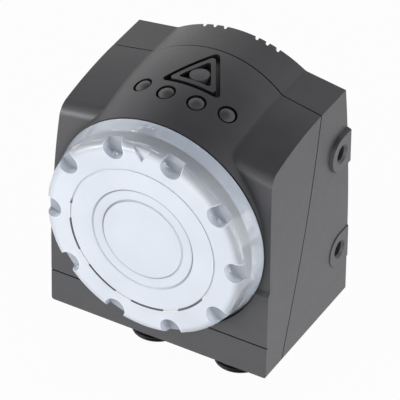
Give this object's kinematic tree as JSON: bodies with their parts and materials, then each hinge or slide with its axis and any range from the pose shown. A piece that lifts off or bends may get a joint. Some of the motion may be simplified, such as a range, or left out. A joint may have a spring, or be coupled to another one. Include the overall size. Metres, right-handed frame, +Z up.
{
  "type": "vision sensor",
  "caption": "Compact machine vision sensor: slanted two-part housing, twist-on clear optics cover, button in a triangle, status lights, side screw pads and round connectors below.",
  "frame": {"origin": "middle of the underside of the bounding box, which is the plane of the two connectors' ends", "axes": "+Z up, away from the connectors; -Y out of the front along the optical axis; +X to the right of a viewer who faces the front"},
  "size_m": [0.0524, 0.0404, 0.0707],
  "materials": {
    "coated_housing": "dark grey satin powder coat on die-cast metal",
    "clear_cover": "clear polished plastic",
    "black_rubber": "matt black",
    "silver_gasket": "matt grey",
    "black_plastic": "fine matt",
    "baffle_plastic": "fine matt grey",
    "light_pipe": "smoked, polished",
    "button_plastic": "satin",
    "diffuser_plastic": "translucent white",
    "circuit_board": "solder mask",
    "diode_resin": "clear resin",
    "lens_glass": "coated, polished",
    "anodised_aluminium": "black anodised",
    "bright_aluminium": "turned",
    "gear_plastic": "natural white",
    "screw_steel": "zinc plated",
    "black_steel": "black oxide",
    "connector_metal": "dark nickel plated",
    "contact_metal": "gold plated",
    "heat_pad": "soft grey"
  },
  "bodies": {
    "housing": {"front_cover": "coated_housing", "rear_housing": "coated_housing", "housing_seal": "black_rubber", "cover_seal": "silver_gasket", "light_baffle": "baffle_plastic", "status_light_1": "light_pipe", "status_light_2": "light_pipe", "status_light_3": "light_pipe", "status_light_4": "light_pipe", "power_connector_shell": "connector_metal", "data_connector_shell": "connector_metal", "ring_diffuser": "diffuser_plastic", "ring_light_board": "circuit_board", "ring_leds": "diode_resin", "optics_frame": "black_plastic", "optics_screws": "screw_steel", "gear_retainer": "black_plastic", "retainer_screws": "screw_steel", "focus_screw_seal": "black_rubber", "image_sensor": "black_plastic", "sensor_board": "circuit_board", "board_spacers": "bright_aluminium", "board_screws": "screw_steel", "main_board": "circuit_board", "processor": "black_plastic", "thermal_pad": "heat_pad", "board_link": "black_plastic", "io_link": "black_plastic", "connector_board": "circuit_board", "power_connector_insert": "black_plastic", "power_connector_pins": "contact_metal", "power_connector_seal": "black_rubber", "power_connector_nut": "connector_metal", "data_connector_insert": "black_plastic", "data_connector_contacts": "contact_metal", "data_connector_seal": "black_rubber", "data_connector_nut": "connector_metal", "indicator_board": "circuit_board", "status_leds": "diode_resin", "tact_switch": "black_plastic", "indicator_screws": "screw_steel", "cover_screws_long": "black_steel", "cover_screws_short": "black_steel"},
    "cover": {"optics_cover": "clear_cover"},
    "trigger": {"trigger_button": "button_plastic"},
    "focus_spindle": {"focus_screw": "gear_plastic"},
    "focus_ring": {"focus_gear": "gear_plastic"},
    "lens": {"lens_barrel": "anodised_aluminium", "lens_front_element": "lens_glass", "lens_rear_element": "lens_glass", "lens_retainer": "anodised_aluminium"}
  },
  "joints": [
    {"name": "cover_twist", "type": "hinge", "parent": "housing", "child": "cover", "pos_m": [0, -0.0126, 0.04325], "axis": [0, -1, 0], "range_deg": [0, 36]},
    {"name": "trigger_press", "type": "slide", "parent": "housing", "child": "trigger", "axis": [0, 0, -1], "range_m": [0, 0.0005], "stiffness_N_per_m": 500, "springref_m": -0.0005},
    {"name": "focus_turn", "type": "hinge", "parent": "housing", "child": "focus_spindle", "pos_m": [0, 0.0032, 0.05825], "axis": [0, 1, 0], "range_deg": [0, 720]},
    {"name": "focus_gear_turn", "type": "hinge", "parent": "housing", "child": "focus_ring", "pos_m": [0, 0.0032, 0.04325], "axis": [0, 1, 0], "range_deg": [-180, 0]},
    {"name": "lens_slide", "type": "slide", "parent": "housing", "child": "lens", "axis": [0, -1, 0], "range_m": [0, 0.002]}
  ],
  "couplings": [
    {"joint": "focus_turn", "follows": "lens_slide", "rad_per_m": 6283.2},
    {"joint": "focus_gear_turn", "follows": "lens_slide", "rad_per_m": -1570.8}
  ]
}
